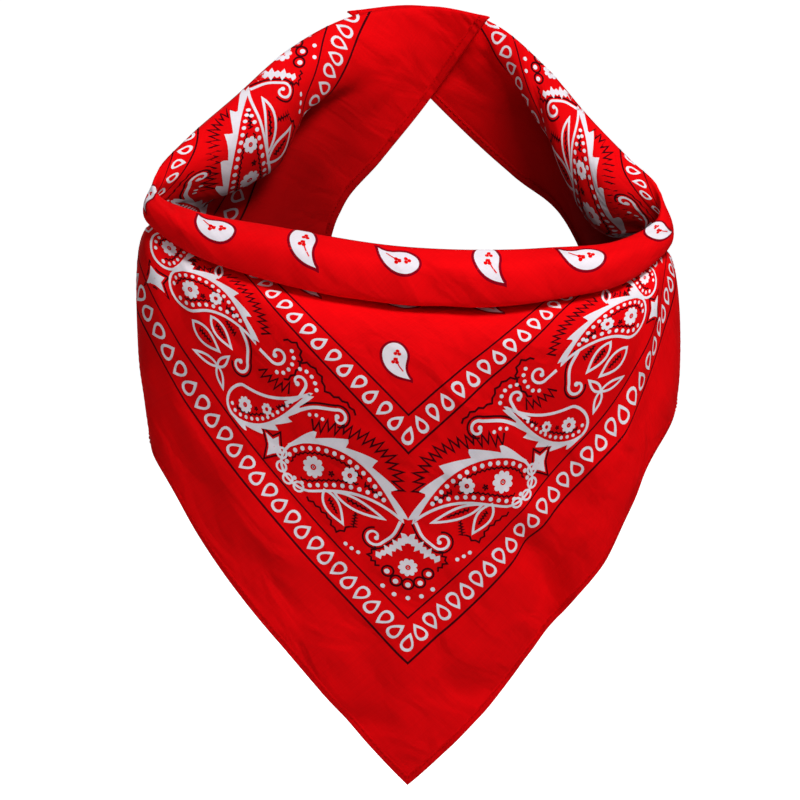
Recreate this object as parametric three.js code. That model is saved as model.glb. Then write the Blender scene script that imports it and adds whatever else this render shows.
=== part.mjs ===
// Bandana, worn round the neck: one square of printed cotton, folded once on its diagonal.
// Millimetres, +Z up, front toward -Y. The origin is the nape, where the wearer holds it up.
import * as THREE from 'three';

// The cloth
const side = 550;
const halfDiagonal = side / Math.SQRT2;
const wall = 1.0;
const layerGap = 0.6;
const hemWidth = 5;
const hemExtra = 0.4;
const seam = 0.3;
const foldClear = 1.0;

// The net of the solids: steps along the fold, and down the cloth
const frontReach = 150;
const frontSteps = 22;
const limbSteps = 18;
const bandRows = 11;
const hangRows = 5;
const foldSegments = 4;

// Where the stretches part from each other, and how far the plain ends reach
const half = seam / 2;
const endReach = halfDiagonal - hemWidth * Math.SQRT2 - 2;

// One row for each section across the folded cloth, from the left end at the nape, round the
// front, to the right end. "s" is the distance along the fold from its middle; x, y and z place
// the fold there. The next eight columns shape the band under the fold, as distances outward from
// the neck and downward: its crest, its lip, the tuck behind the lip, and the seat where the cloth
// starts to hang. "taken" is the cloth that the band uses up. "lean" (outward) and "drift" (toward
// the nape) tilt the hanging part, for each mm it hangs, and "belly" is how far it bows out.
// "slide" is how far the cloth under the band has slipped along toward the middle of the front.
const columns = [
  's', 'x', 'y', 'z', 'crestOut', 'crestDown', 'lipOut', 'lipDown',
  'tuckOut', 'tuckDown', 'seatOut', 'seatDown', 'taken', 'lean', 'drift', 'belly', 'slide',
];
const table = [
  [-389, 45, -27, -2, 0, 0.2, 0, 0.4, 0, 0.6, 0, 0.8, 0.8, 0, 0.3, 0, 0],
  [-349, 12, -7, 0, 0, 6, 0, 12, 0, 18, 0, 25, 25, 0, 0.3, 0, 0],
  [-300, -33, -15, -5, -4, 12, -5, 28, -2, 42, 0, 56, 60, 0, 0.26, 0, 0],
  [-262, -64, -36, -18, -11, 9, -10, 30, 6, 38, 1, 54, 82, -0.1, 0.4, 1, 0],
  [-225, -92, -62, -38, -17, 8, -15, 36, 8, 44, 4, 60, 98, -0.2, 0.6, 2, 4],
  [-190, -116, -86, -55, -12, 8, -11, 30, 2, 42, 4, 58, 106, -0.18, 0.48, 4, 10],
  [-164, -132, -106, -69, -1, 6, 0, 16, -8, 24, 4, 36, 110, -0.06, 0.14, 7, 12],
  [-142, -132, -123, -77, 5, 4, 6, 11, -12, 13, 4, 19, 112, -0.02, 0, 7, 10],
  [-115, -113, -139, -82, 9, 5, 9, 16, -20, 17, 6, 23, 112, -0.06, 0, 4, 8],
  [-70, -70, -153, -87, 11, 6, 12, 24, -26, 22, 7, 30, 112, -0.09, 0, 3, 2],
  [0, 0, -158, -97, 12, 7, 12, 25, -27, 23, 7, 32, 112, -0.11, 0, 2, 0],
  [70, 70, -152, -99, 11, 6, 12, 23, -26, 22, 7, 30, 112, -0.11, -0.02, 2, 0],
  [115, 113, -139, -97, 9, 5, 9, 17, -20, 18, 6, 24, 112, -0.08, -0.06, 4, 3],
  [142, 132, -121, -90, 5, 4, 6, 12, -10, 14, 4, 20, 112, -0.05, -0.06, 8, 14],
  [164, 132, -102, -79, -1, 6, 0, 18, -8, 26, 4, 38, 110, 0, 0, 7, 28],
  [190, 117, -84, -67, -13, 9, -13, 38, 3, 46, 3, 60, 108, 0.04, 0.0, 4, 38],
  [225, 96, -61, -49, -13, 8, -12, 34, 7, 40, 3, 54, 98, 0.03, -0.04, 2, 34],
  [262, 74, -39, -27, -10, 7, -8, 27, 6, 33, 2, 46, 80, 0.02, -0.12, 1, 18],
  [300, 47, -17, -8, -2, 6, -2, 16, 1, 23, 1, 36, 42, 0, -0.14, 0, 0],
  [349, 4, 1, -1, 0, 6, 0, 12, 0, 18, 0, 25, 25, 0, 0.12, 0, 0],
  [389, -34, -6, -3, 0, 0.2, 0, 0.4, 0, 0.6, 0, 0.8, 0.8, 0, 0.2, 0, 0],
].map((row) => Object.fromEntries(columns.map((name, k) => [name, row[k]])));

// Soft folds of the hanging cloth: where each runs along the fold line, how wide it is, how far
// it pushes the cloth outward (or in, below 0), and the depths between which it fades in.
const drapes = [
  { s: 84, width: 22, push: -8, from: 130, to: 260 },
  { s: 116, width: 20, push: 4, from: 120, to: 240 },
  { s: -96, width: 30, push: 4, from: 150, to: 260 },
  { s: -30, width: 34, push: -3, from: 190, to: 320 },
  { s: -172, width: 16, push: -6, from: 110, to: 190 },
  { s: 176, width: 16, push: -6, from: 110, to: 190 },
  { s: -205, width: 16, push: 5, from: 100, to: 160 },
  { s: 212, width: 16, push: 5, from: 100, to: 160 },
];

// A smooth curve through (knot, value) pairs: a cubic between neighbours, with each slope taken
// from the parabola through a knot and its two neighbours.
function slopes(knots, values) {
  const n = knots.length;
  const rise = (k) => (values[k + 1] - values[k]) / (knots[k + 1] - knots[k]);
  return values.map((_, k) => {
    if (k === 0) return rise(0);
    if (k === n - 1) return rise(n - 2);
    const before = knots[k] - knots[k - 1];
    const after = knots[k + 1] - knots[k];
    return (rise(k - 1) * after + rise(k) * before) / (before + after);
  });
}

function curve(knots, values, at, slope = slopes(knots, values)) {
  const clamped = Math.min(Math.max(at, knots[0]), knots[knots.length - 1]);
  let k = 0;
  while (k < knots.length - 2 && clamped > knots[k + 1]) k += 1;
  const step = knots[k + 1] - knots[k];
  const u = (clamped - knots[k]) / step;
  const start = (1 + 2 * u) * (1 - u) ** 2 * values[k] + u * (1 - u) ** 2 * step * slope[k];
  const end = u * u * (3 - 2 * u) * values[k + 1] - u * u * (1 - u) * step * slope[k + 1];
  return start + end;
}

const stations = table.map((row) => row.s);
const tracks = Object.fromEntries(columns.map((name) => {
  const values = table.map((row) => row[name]);
  return [name, { values, slope: slopes(stations, values) }];
}));
const track = (name, s) => curve(stations, tracks[name].values, s, tracks[name].slope);
const ramp = (from, to, at) => THREE.MathUtils.smoothstep(at, from, to);

// The section at s: the knots down the cloth, and the points there as (outward, downward, along).
function section(s) {
  const value = (name) => track(name, s);
  const hang = Math.max(halfDiagonal - Math.abs(s) - value('taken'), 0.2);
  const turn = 0.06 * value('tuckDown') + 0.1 * Math.abs(value('lipOut') - value('tuckOut'));
  const out = [
    0, value('crestOut'), value('lipOut'), value('tuckOut'), value('tuckOut'), value('seatOut'),
  ];
  const down = [
    0, value('crestDown'), value('lipDown'), value('tuckDown') - turn, value('tuckDown') + turn,
    value('seatDown'),
  ];
  const knots = [0];
  for (let k = 1; k < out.length; k += 1) {
    knots.push(knots[k - 1] + Math.hypot(out[k] - out[k - 1], down[k] - down[k - 1]));
  }
  const scale = value('taken') / knots[knots.length - 1];
  const taken = knots.map((knot) => knot * scale);
  const fall = 1 / Math.hypot(1, value('lean'), value('drift'));
  for (const share of [0.5, 1]) {
    taken.push(value('taken') + hang * share);
    out.push(value('seatOut') + hang * share * value('lean') * fall
      + (share < 1 ? value('belly') : 0));
    down.push(value('seatDown') + hang * share * fall);
  }
  return { knots: taken, out, down, hang, taken: value('taken'), drift: value('drift') * fall };
}

// The frame at s: the fold's place, and the level directions outward and along the fold.
function frameAt(s) {
  const place = new THREE.Vector3(track('x', s), track('y', s), track('z', s));
  const step = 2;
  const ahead = new THREE.Vector3(
    track('x', s + step) - track('x', s - step),
    track('y', s + step) - track('y', s - step),
    0,
  ).normalize();
  return { place, ahead, outward: new THREE.Vector3(ahead.y, -ahead.x, 0) };
}

const cache = new Map();
function sectionFrame(s) {
  if (!cache.has(s)) cache.set(s, { ...section(s), ...frameAt(s) });
  return cache.get(s);
}

// The middle of the folded cloth, at s along the fold and t down from it.
function middle(fromMiddle, t) {
  const slipped = track('slide', fromMiddle) * ramp(20, 110, t);
  const s = fromMiddle - Math.sign(fromMiddle) * slipped;
  const at = sectionFrame(s);
  let out = curve(at.knots, at.out, t);
  const down = curve(at.knots, at.down, t);
  const hung = Math.max(t - at.taken, 0);
  for (const fold of drapes) {
    out += fold.push * Math.exp(-(((s - fold.s) / fold.width) ** 2)) * ramp(fold.from, fold.to, t);
  }
  const along = Math.sign(s) * at.drift * (hung + 0.8 * Math.min(t, at.taken) * (at.down[5] / at.taken));
  return at.place.clone()
    .addScaledVector(at.outward, out)
    .addScaledVector(at.ahead, along)
    .add(new THREE.Vector3(0, 0, -down));
}

// The cloth's facing there: away from the neck on a part that hangs plainly.
function facing(s, t) {
  const step = 0.6;
  const across = middle(s + step, t).sub(middle(s - step, t));
  const below = middle(s, t + step).sub(middle(s, Math.max(t - step, 0)));
  return across.cross(below).normalize().negate();
}

// A closed wall between two sheets of points, sheet(i, j, 0) inside and sheet(i, j, 1) outside.
function wallBetween(columnsCount, rowsCount, sheet) {
  const points = [];
  const index = [];
  const at = (i, j, face) => (face * columnsCount + i) * rowsCount + j;
  for (let face = 0; face < 2; face += 1) {
    for (let i = 0; i < columnsCount; i += 1) {
      for (let j = 0; j < rowsCount; j += 1) points.push(...sheet(i, j, face).toArray());
    }
  }
  const quad = (a, b, c, d) => index.push(a, b, c, a, c, d);
  for (let i = 0; i + 1 < columnsCount; i += 1) {
    for (let j = 0; j + 1 < rowsCount; j += 1) {
      quad(at(i, j, 1), at(i, j + 1, 1), at(i + 1, j + 1, 1), at(i + 1, j, 1));
      quad(at(i, j, 0), at(i + 1, j, 0), at(i + 1, j + 1, 0), at(i, j + 1, 0));
    }
    quad(at(i, 0, 0), at(i, 0, 1), at(i + 1, 0, 1), at(i + 1, 0, 0));
    const last = rowsCount - 1;
    quad(at(i, last, 0), at(i + 1, last, 0), at(i + 1, last, 1), at(i, last, 1));
  }
  for (let j = 0; j + 1 < rowsCount; j += 1) {
    quad(at(0, j, 0), at(0, j + 1, 0), at(0, j + 1, 1), at(0, j, 1));
    const end = columnsCount - 1;
    quad(at(end, j, 0), at(end, j, 1), at(end, j + 1, 1), at(end, j + 1, 0));
  }
  const geometry = new THREE.BufferGeometry();
  geometry.setAttribute('position', new THREE.Float32BufferAttribute(points, 3));
  geometry.setIndex(index);
  geometry.computeVertexNormals();
  return geometry;
}

// Places along the fold: even over the front, and closer on a limb where it turns to the back.
const steps = (from, to, count, power = 1) => Array.from(
  { length: count + 1 },
  (_, k) => from + (to - from) * (k / count) ** power,
);
const frontPlaces = steps(half - frontReach, frontReach - half, frontSteps);
const rightPlaces = steps(frontReach + half, endReach, limbSteps, 1.4);
const leftPlaces = rightPlaces.map((s) => -s).reverse();

// A stretch of one layer: layer 1 is outside, layer -1 is against the neck.
function stretch(along, layer) {
  const rows = bandRows + hangRows + 1;
  const depth = (s, j) => {
    const end = halfDiagonal - (hemWidth + seam) * Math.SQRT2 - Math.abs(s);
    const band = Math.min(track('taken', s), 0.7 * end);
    return j <= bandRows
      ? foldClear + ((band - foldClear) * j) / bandRows
      : band + ((end - band) * (j - bandRows)) / hangRows;
  };
  return wallBetween(along.length, rows, (i, j, face) => {
    const s = along[i];
    const t = depth(s, j);
    const near = layerGap / 2;
    const offset = layer > 0 ? near + face * wall : -near - (1 - face) * wall;
    return middle(s, t).addScaledVector(facing(s, t), offset);
  });
}

// The bend of the cloth over the fold line, which joins the two layers.
function bend(along) {
  return wallBetween(along.length, foldSegments + 1, (i, j, face) => {
    const s = along[i];
    const angle = Math.PI * (0.06 + (0.88 * j) / foldSegments);
    const radius = layerGap / 2 + face * wall;
    const out = facing(s, foldClear);
    const down = middle(s, 2 * foldClear).sub(middle(s, 0)).normalize();
    return middle(s, 0)
      .addScaledVector(out, -Math.cos(angle) * radius)
      .addScaledVector(down, -Math.sin(angle) * radius);
  });
}

// The turned hem on one edge of the square, from the point at the front to the end at the nape.
function hem(hand, layer) {
  const front = frontPlaces.filter((s) => s > half);
  const along = [half, ...front, ...rightPlaces, halfDiagonal - 3].map((s) => hand * s);
  if (hand < 0) along.reverse();
  return wallBetween(along.length, 2, (i, j, face) => {
    const s = along[i];
    const outer = halfDiagonal - Math.abs(s);
    const t = j === 1 ? outer : Math.max(outer - hemWidth * Math.SQRT2, foldClear);
    const near = layerGap / 2;
    const thick = wall + hemExtra;
    const offset = layer > 0 ? near + face * thick : -near - (1 - face) * thick;
    return middle(s, t).addScaledVector(facing(s, t), offset);
  });
}

const red = new THREE.MeshStandardMaterial({ color: 0xd0060a, roughness: 0.86, metalness: 0 });
const deepRed = new THREE.MeshStandardMaterial({ color: 0xb00508, roughness: 0.88, metalness: 0 });
const hemRed = new THREE.MeshStandardMaterial({ color: 0xc40509, roughness: 0.86, metalness: 0 });

const bandana = new THREE.Group();
function add(name, geometry, material) {
  const mesh = new THREE.Mesh(geometry, material);
  mesh.name = name;
  bandana.add(mesh);
}

const stretches = [
  { name: 'front', along: frontPlaces },
  { name: 'left_limb', along: leftPlaces },
  { name: 'right_limb', along: rightPlaces },
];
for (const { name, along } of stretches) {
  add(`${name}_outer_layer`, stretch(along, 1), red);
  add(`${name}_inner_layer`, stretch(along, -1), deepRed);
  add(`${name}_fold`, bend(along), red);
}
for (const [hand, word] of [[-1, 'left'], [1, 'right']]) {
  add(`${word}_outer_hem`, hem(hand, 1), hemRed);
  add(`${word}_inner_hem`, hem(hand, -1), hemRed);
}

export default bandana;
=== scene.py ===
"""A square printed bandana, folded on its diagonal and worn round the neck.

The cloth is one sheet that follows the folded surface of the solids. Lengths are millimetres
until a mesh is made, and s and t are the two directions on the flat cloth: s along the diagonal
fold, t across it, above 0 on the outer layer and below 0 on the layer against the neck.
"""

import bpy
import numpy as np
from bpy.props import FloatProperty, FloatVectorProperty, IntProperty, PointerProperty
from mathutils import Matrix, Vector


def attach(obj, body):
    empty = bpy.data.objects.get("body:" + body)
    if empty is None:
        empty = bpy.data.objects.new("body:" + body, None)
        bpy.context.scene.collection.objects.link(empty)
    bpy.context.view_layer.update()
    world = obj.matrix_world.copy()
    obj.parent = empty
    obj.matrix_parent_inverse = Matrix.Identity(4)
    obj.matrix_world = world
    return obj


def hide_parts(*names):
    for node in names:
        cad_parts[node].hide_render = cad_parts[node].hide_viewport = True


bl_info = {
    "name": "Worn Bandana",
    "version": (1, 0, 0),
    "blender": (4, 5, 0),
    "location": "View3D > Sidebar > Bandana",
    "description": "Builds a printed square of cotton, folded on its diagonal and worn",
    "category": "Add Mesh",
}

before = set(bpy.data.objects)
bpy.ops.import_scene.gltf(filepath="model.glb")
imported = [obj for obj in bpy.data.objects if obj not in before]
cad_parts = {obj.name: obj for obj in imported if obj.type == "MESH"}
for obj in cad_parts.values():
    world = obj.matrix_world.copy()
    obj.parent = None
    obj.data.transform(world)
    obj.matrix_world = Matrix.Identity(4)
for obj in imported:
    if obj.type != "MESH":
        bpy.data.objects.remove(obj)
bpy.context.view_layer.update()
LAYER_NODES = [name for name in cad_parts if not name.endswith("_hem")]
HEM_NODES = [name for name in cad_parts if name.endswith("_hem")]
ROOT2 = np.sqrt(2.0)


class BandanaClothSizes(bpy.types.PropertyGroup):
    """Sizes of the cut cloth and its hem."""

    side: FloatProperty(
        name="Side", description="Side of the square cloth, in millimetres",
        default=550.0, min=520.0, max=600.0)
    net: IntProperty(
        name="Net", description="Steps of the cloth's net along one side",
        default=186, min=60, max=210)
    thickness: FloatProperty(
        name="Thickness", description="Thickness of the cotton with its nap, in millimetres",
        default=0.5, min=0.2, max=1.0)
    layer_offset: FloatProperty(
        name="Layer offset", description="From the middle of the folded cloth to each layer",
        default=0.8, min=0.5, max=2.0)
    hem_width: FloatProperty(
        name="Hem width", description="Width of the turned hem, in millimetres",
        default=5.0, min=3.0, max=12.0)
    stitch_pitch: FloatProperty(
        name="Stitch pitch", description="From one hem stitch to the next, in millimetres",
        default=3.0, min=1.5, max=6.0)
    ground: FloatVectorProperty(
        name="Ground", description="Colour of the dyed cotton", subtype="COLOR",
        default=(0.80, 0.001, 0.003), min=0.0, max=1.0, size=3)
    crease_depth: FloatProperty(
        name="Crease depth", description="How far the soft creases stand, as a share",
        default=1.5, min=0.0, max=2.0)


class BandanaPrintSizes(bpy.types.PropertyGroup):
    """Places and sizes of the print, in millimetres in from the cut edge."""

    outer_line: FloatProperty(
        name="Outer line", description="From the edge to the outer frame's first line",
        default=52.9, min=20.0, max=80.0)
    outer_band: FloatProperty(
        name="Outer band", description="Width of the outer frame", default=18.6, min=8.0, max=30.0)
    outer_drop: FloatProperty(
        name="Outer drop", description="Length of a drop in the outer frame",
        default=11.4, min=5.0, max=16.0)
    inner_line: FloatProperty(
        name="Inner line", description="From the edge to the inner frame's first line",
        default=135.0, min=90.0, max=180.0)
    inner_band: FloatProperty(
        name="Inner band", description="Width of the inner frame", default=13.4, min=8.0, max=30.0)
    inner_drop: FloatProperty(
        name="Inner drop", description="Length of a drop in the inner frame",
        default=9.8, min=5.0, max=16.0)
    drop_pitch: FloatProperty(
        name="Drop pitch", description="From one drop to the next", default=8.9, min=6.0, max=14.0)
    stroke: FloatProperty(
        name="Stroke", description="Width of a drop's white line", default=1.5, min=0.6, max=2.5)
    field_pitch: FloatProperty(
        name="Centre pitch", description="From one single paisley to the next",
        default=46.6, min=36.0, max=70.0)
    white: FloatVectorProperty(
        name="White", description="Colour of the discharged white print", subtype="COLOR",
        default=(0.80, 0.74, 0.80), min=0.0, max=1.0, size=3)
    ink: FloatVectorProperty(
        name="Ink", description="Colour of the dark print", subtype="COLOR",
        default=(0.045, 0.001, 0.004), min=0.0, max=1.0, size=3)
    crimson: FloatVectorProperty(
        name="Crimson", description="Colour of the dark edge of the single paisleys",
        subtype="COLOR", default=(0.26, 0.0, 0.008), min=0.0, max=1.0, size=3)


class BandanaStageSizes(bpy.types.PropertyGroup):
    """Sizes of the stage, and the strength of its lights."""

    drop: FloatProperty(
        name="Floor drop", description="Height of the floor below the nape", unit="LENGTH",
        default=0.95, min=0.5, max=2.0)
    pale: FloatVectorProperty(
        name="Pale", description="Colour of the floor and backdrop", subtype="COLOR",
        default=(0.93, 0.93, 0.93), min=0.0, max=1.0, size=3)
    key: FloatProperty(
        name="Key light", description="Power of the key light, in watts",
        default=18.5, min=0.0, max=500.0)
    fill: FloatProperty(
        name="Fill light", description="Power of the fill light, in watts",
        default=14.0, min=0.0, max=500.0)
    around: FloatProperty(
        name="Light around", description="Strength of the even light from all sides",
        default=0.1, min=0.0, max=3.0)
    behind: FloatProperty(
        name="Back light", description="Power of the light behind, in watts",
        default=17.0, min=0.0, max=1000.0)


# One row for each section across the folded cloth, from the left end at the nape, round the
# front, to the right end, with the columns named as in the part's own source.
COLUMNS = ("s", "x", "y", "z", "crest_out", "crest_down", "lip_out", "lip_down", "tuck_out",
           "tuck_down", "seat_out", "seat_down", "taken", "lean", "drift", "belly", "slide")
TABLE = np.array([
    (-389, 45, -27, -2, 0, 0.2, 0, 0.4, 0, 0.6, 0, 0.8, 0.8, 0, 0.3, 0, 0),
    (-349, 12, -7, 0, 0, 6, 0, 12, 0, 18, 0, 25, 25, 0, 0.3, 0, 0),
    (-300, -33, -15, -5, -4, 12, -5, 28, -2, 42, 0, 56, 60, 0, 0.26, 0, 0),
    (-262, -64, -36, -18, -11, 9, -10, 30, 6, 38, 1, 54, 82, -0.1, 0.4, 1, 0),
    (-225, -92, -62, -38, -17, 8, -15, 36, 8, 44, 4, 60, 98, -0.2, 0.6, 2, 4),
    (-190, -116, -86, -55, -12, 8, -11, 30, 2, 42, 4, 58, 106, -0.18, 0.48, 4, 10),
    (-164, -132, -106, -69, -1, 6, 0, 16, -8, 24, 4, 36, 110, -0.06, 0.14, 7, 12),
    (-142, -132, -123, -77, 5, 4, 6, 11, -12, 13, 4, 19, 112, -0.02, 0, 7, 10),
    (-115, -113, -139, -82, 9, 5, 9, 16, -20, 17, 6, 23, 112, -0.06, 0, 4, 8),
    (-70, -70, -153, -87, 11, 6, 12, 24, -26, 22, 7, 30, 112, -0.09, 0, 3, 2),
    (0, 0, -158, -97, 12, 7, 12, 25, -27, 23, 7, 32, 112, -0.11, 0, 2, 0),
    (70, 70, -152, -99, 11, 6, 12, 23, -26, 22, 7, 30, 112, -0.11, -0.02, 2, 0),
    (115, 113, -139, -97, 9, 5, 9, 17, -20, 18, 6, 24, 112, -0.08, -0.06, 4, 3),
    (142, 132, -121, -90, 5, 4, 6, 12, -10, 14, 4, 20, 112, -0.05, -0.06, 8, 14),
    (164, 132, -102, -79, -1, 6, 0, 18, -8, 26, 4, 38, 110, 0, 0, 7, 28),
    (190, 117, -84, -67, -13, 9, -13, 38, 3, 46, 3, 60, 108, 0.04, 0.0, 4, 38),
    (225, 96, -61, -49, -13, 8, -12, 34, 7, 40, 3, 54, 98, 0.03, -0.04, 2, 34),
    (262, 74, -39, -27, -10, 7, -8, 27, 6, 33, 2, 46, 80, 0.02, -0.12, 1, 18),
    (300, 47, -17, -8, -2, 6, -2, 16, 1, 23, 1, 36, 42, 0, -0.14, 0, 0),
    (349, 4, 1, -1, 0, 6, 0, 12, 0, 18, 0, 25, 25, 0, 0.12, 0, 0),
    (389, -34, -6, -3, 0, 0.2, 0, 0.4, 0, 0.6, 0, 0.8, 0.8, 0, 0.2, 0, 0),
])

# Soft folds of the hanging cloth: place along the fold, width, push, and the depths it fades in.
DRAPES = (
    (84, 22, -8, 130, 260), (116, 20, 4, 120, 240), (-96, 30, 4, 150, 260),
    (-30, 34, -3, 190, 320), (-172, 16, -6, 110, 190), (176, 16, -6, 110, 190),
    (-205, 16, 5, 100, 160), (212, 16, 5, 100, 160),
)

# Fine creases, listed one by one: from (s, t) to (s, t), half width, and height (below 0 is a
# trough).
CREASES = (
    (62, 236, 90, 306, 8, -2.6), (40, 205, 100, 262, 12, 1.5), (-60, 262, -96, 232, 10, 1.3),
    (-30, 330, -84, 282, 8, -1.0), (-120, 150, -70, 250, 14, 1.2), (24, 130, 70, 190, 12, -1.1),
    (150, 128, 112, 214, 7, 1.5), (134, 150, 92, 236, 6, -1.2), (-150, 132, -118, 208, 8, 1.3),
    (-132, 126, -100, 176, 6, -0.9), (0, 12, 26, 26, 7, -1.6), (-78, 10, -40, 26, 9, 1.0),
    (66, 10, 104, 24, 9, 0.9), (-10, 300, 8, 376, 10, 1.2), (18, 290, 34, 352, 7, -0.9),
    (200, 30, 176, 92, 8, 1.4), (-196, 28, -172, 88, 8, 1.3), (236, 20, 214, 92, 7, -1.2),
    (-232, 24, -208, 90, 7, -1.1), (262, 14, 250, 84, 6, 1.0), (-260, 18, -246, 80, 6, 1.1),
    (300, 8, 290, 62, 6, -0.9), (-300, 10, -286, 62, 6, -0.8), (330, 6, 318, 48, 5, 0.8),
    (-334, 8, -322, 44, 5, 0.8), (-20, 146, 20, 158, 8, -0.7), (108, 60, 150, 84, 8, -1.1),
    (-110, 62, -148, 86, 8, -1.0), (-66, 296, -34, 350, 13, 2.0), (-16, 346, -52, 366, 9, -1.8),
    (26, 318, 52, 336, 12, -1.4), (-150, 210, -96, 244, 10, -1.2), (120, 196, 148, 232, 9, 1.3),
)


def ramp(low, high, at):
    """An even S-shaped rise from 0 at low to 1 at high: 3k^2 - 2k^3."""
    k = np.clip((at - low) / (high - low), 0.0, 1.0)
    return k * k * (3.0 - 2.0 * k)


def curve(knots, values, at):
    """A smooth curve through (knot, value) pairs along the last axis, a cubic between two
    neighbours, with each slope from the parabola through a knot and its two neighbours."""
    gap = np.diff(knots, axis=-1)
    rise = np.diff(values, axis=-1) / gap
    inner = rise[..., :-1] * gap[..., 1:] + rise[..., 1:] * gap[..., :-1]
    inner = inner / (gap[..., :-1] + gap[..., 1:])
    slope = np.concatenate([rise[..., :1], inner, rise[..., -1:]], axis=-1)
    at = np.clip(at, knots[..., 0], knots[..., -1])
    place = (at[..., None] > knots).sum(axis=-1) - 1
    place = np.clip(place, 0, knots.shape[-1] - 2)[..., None]

    def pick(array, step=0):
        wide = np.broadcast_to(array, at.shape + array.shape[-1:])
        return np.take_along_axis(wide, place + step, axis=-1)[..., 0]

    step = pick(gap)
    u = (at - pick(knots)) / step
    start = (1 + 2 * u) * (1 - u) ** 2 * pick(values) + u * (1 - u) ** 2 * step * pick(slope)
    end = u * u * (3 - 2 * u) * pick(values, 1) - u * u * (1 - u) * step * pick(slope, 1)
    return start + end


def track(name, s):
    """One column of the table, followed along the fold."""
    return curve(TABLE[:, 0], TABLE[:, COLUMNS.index(name)], s)


def middle(from_middle, t, half_diagonal):
    """The middle of the folded cloth: the section's curve at depth t, set on the fold's place at
    s, pushed by the soft drapes and drawn along by the drift."""
    slipped = track("slide", from_middle) * ramp(20, 110, t)
    s = from_middle - np.sign(from_middle) * slipped
    value = {name: track(name, s) for name in COLUMNS[1:]}
    hang = np.maximum(half_diagonal - np.abs(s) - value["taken"], 0.2)
    turn = 0.06 * value["tuck_down"] + 0.1 * np.abs(value["lip_out"] - value["tuck_out"])
    out = [0 * s, value["crest_out"], value["lip_out"], value["tuck_out"], value["tuck_out"],
           value["seat_out"]]
    down = [0 * s, value["crest_down"], value["lip_down"], value["tuck_down"] - turn,
            value["tuck_down"] + turn, value["seat_down"]]
    chords = np.hypot(np.diff(np.stack(out, -1), axis=-1), np.diff(np.stack(down, -1), axis=-1))
    lengths = np.cumsum(chords, axis=-1)
    lengths = lengths * (value["taken"] / lengths[..., -1])[..., None]
    knots = [0 * s] + [lengths[..., k] for k in range(5)]
    fall = 1.0 / np.sqrt(1.0 + value["lean"] ** 2 + value["drift"] ** 2)
    for share in (0.5, 1.0):
        knots.append(value["taken"] + hang * share)
        bow = value["belly"] if share < 1 else 0.0
        out.append(value["seat_out"] + hang * share * value["lean"] * fall + bow)
        down.append(value["seat_down"] + hang * share * fall)
    knots = np.stack(knots, -1)
    outward_by = curve(knots, np.stack(out, -1), t)
    for at, width, push, low, high in DRAPES:
        outward_by = outward_by + push * np.exp(-(((s - at) / width) ** 2)) * ramp(low, high, t)
    hung = np.maximum(t - value["taken"], 0.0)
    held = 0.8 * np.minimum(t, value["taken"]) * (value["seat_down"] / value["taken"])
    along_by = np.sign(s) * value["drift"] * fall * (hung + held)
    ahead = np.stack([track("x", s + 2) - track("x", s - 2),
                      track("y", s + 2) - track("y", s - 2)], -1)
    ahead = ahead / np.linalg.norm(ahead, axis=-1, keepdims=True)
    x = value["x"] + ahead[..., 1] * outward_by + ahead[..., 0] * along_by
    y = value["y"] - ahead[..., 0] * outward_by + ahead[..., 1] * along_by
    z = value["z"] - curve(knots, np.stack(down, -1), t)
    return np.stack([x, y, z], -1)


def unit(vectors):
    """Vectors made one long."""
    return vectors / np.maximum(np.linalg.norm(vectors, axis=-1, keepdims=True), 1e-12)


def facing(s, t, half_diagonal):
    """The cloth's facing, away from the neck: across the fold's run times down the cloth."""
    step = 0.6
    across = middle(s + step, t, half_diagonal) - middle(s - step, t, half_diagonal)
    below = middle(s, t + step, half_diagonal)
    below = below - middle(s, np.maximum(t - step, 0.0), half_diagonal)
    return -unit(np.cross(across, below))


def creases(s, depth):
    """Soft uneven creases: a bell across each listed line, faded out past its two ends."""
    height = np.zeros_like(s)
    for s0, t0, s1, t1, width, rise in CREASES:
        run = np.array([s1 - s0, t1 - t0], dtype=float)
        length = np.hypot(*run)
        run = run / length
        along = ((s - s0) * run[0] + (depth - t0) * run[1]) / length
        bow = width * 0.7 * np.sin(2.6 * along + 0.05 * s0)
        across = (depth - t0) * run[0] - (s - s0) * run[1] - bow
        swell = 1.0 + 0.45 * np.maximum(along - 0.2, 0.0)
        fade = ramp(-0.35, 0.25, along) * (1.0 - ramp(0.7, 1.45, along))
        height += rise * fade * np.exp(-((across / (width * swell)) ** 2))
    height += 0.35 * np.sin(s / 21.0 + 1.3 * np.sin(depth / 37.0)) * np.sin(depth / 26.0 + 0.7)
    return height * ramp(-8, 14, depth)


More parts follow.
